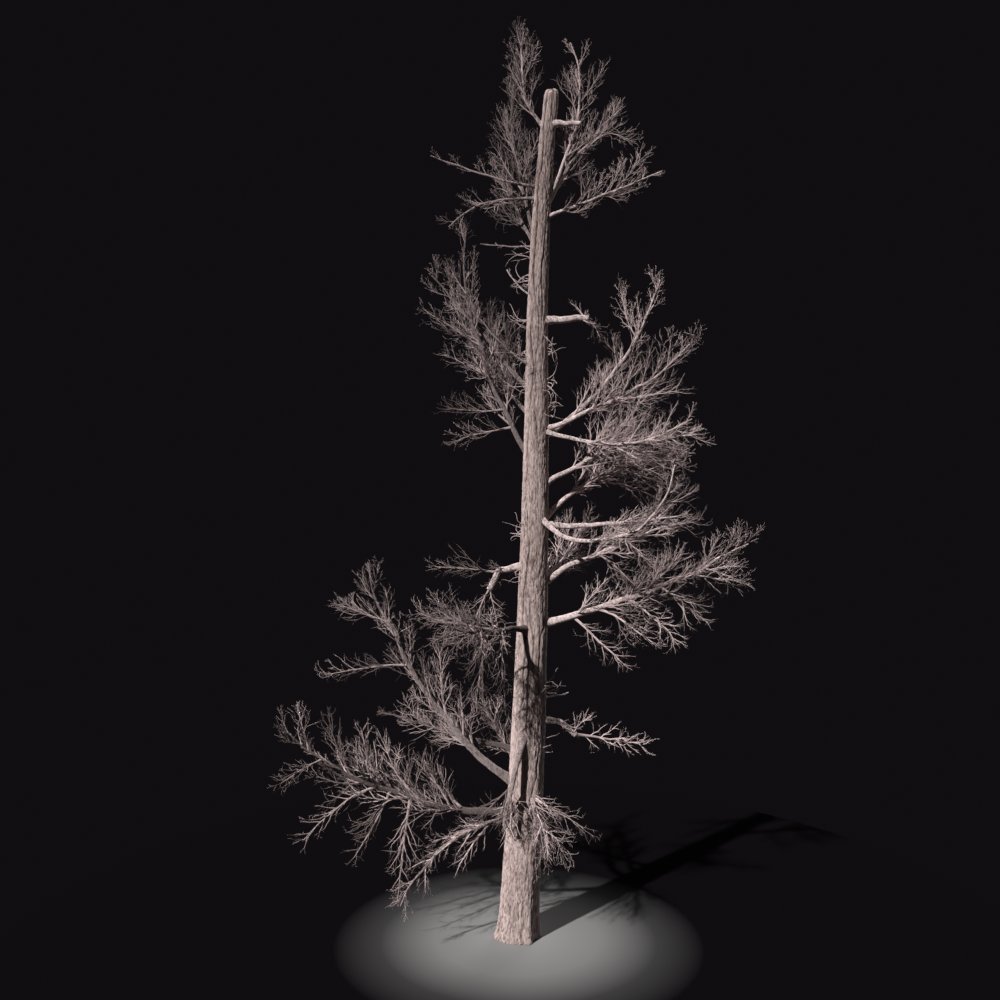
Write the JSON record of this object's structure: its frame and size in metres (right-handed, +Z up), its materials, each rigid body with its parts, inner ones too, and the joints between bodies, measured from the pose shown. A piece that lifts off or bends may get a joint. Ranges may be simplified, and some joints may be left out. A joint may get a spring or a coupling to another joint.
{
  "type": "dead tree",
  "caption": "Standing dead conifer with a slightly leaning, tapering trunk, a broken top, a flared foot and sparse boughs that end in tangled bare twigs.",
  "frame": {"origin": "middle of the flat cut under the trunk at ground level", "axes": "+Z up along the trunk, +X to the right in the pictured view, +Y away from the viewer"},
  "size_m": [8.2352, 5.041, 16.0353],
  "materials": {
    "bark": "dry, furrowed, weathered pinkish-grey bark",
    "twig_wood": "dry, matt, weathered grey-brown twigs"
  },
  "bodies": {
    "root": {"trunk": "bark", "back_low_limb": "bark", "back_low_twigs": "twig_wood", "back_mid_limb": "bark", "back_mid_twigs": "twig_wood", "elbow_limb": "bark", "elbow_twigs": "twig_wood", "front_droop_limb": "bark", "front_droop_twigs": "twig_wood", "left_back_limb": "bark", "left_back_twigs": "twig_wood", "left_droop_limb": "bark", "left_droop_twigs": "twig_wood", "left_long_limb": "bark", "left_long_twigs": "twig_wood", "left_low_limb": "bark", "left_low_twigs": "twig_wood", "left_spur_twigs": "twig_wood", "left_wisp_twigs": "twig_wood", "mid_back_twigs": "twig_wood", "mid_left_front_twigs": "twig_wood", "mid_left_limb": "bark", "mid_left_twigs": "twig_wood", "mid_left_up_twigs": "twig_wood", "right_behind_limb": "bark", "right_behind_twigs": "twig_wood", "right_fork_out_limb": "bark", "right_fork_out_twigs": "twig_wood", "right_fork_up_limb": "bark", "right_fork_up_twigs": "twig_wood", "right_front_limb": "bark", "right_front_twigs": "twig_wood", "right_inner_limb": "bark", "right_inner_twigs": "twig_wood", "right_long_limb": "bark", "right_long_twigs": "twig_wood", "right_lower_limb": "bark", "right_lower_twigs": "twig_wood", "right_skirt_twigs": "twig_wood", "right_stub_limb": "bark", "right_stub_twigs": "twig_wood", "right_sweep_limb": "bark", "right_sweep_twigs": "twig_wood", "right_thick_limb": "bark", "right_thick_twigs": "twig_wood", "right_wisp_twigs": "twig_wood", "shade_front_limb": "bark", "shade_front_twigs": "twig_wood", "stub_mid_limb": "bark", "stub_mid_twigs": "twig_wood", "stub_top_limb": "bark", "top_left_back_twigs": "twig_wood", "top_left_droop_twigs": "twig_wood", "top_left_inner_twigs": "twig_wood", "top_left_leader_twigs": "twig_wood", "top_left_long_twigs": "twig_wood", "top_right_fork_twigs": "twig_wood", "top_right_out_twigs": "twig_wood", "top_right_up_limb": "bark", "top_right_up_twigs": "twig_wood"}
  },
  "joints": []
}
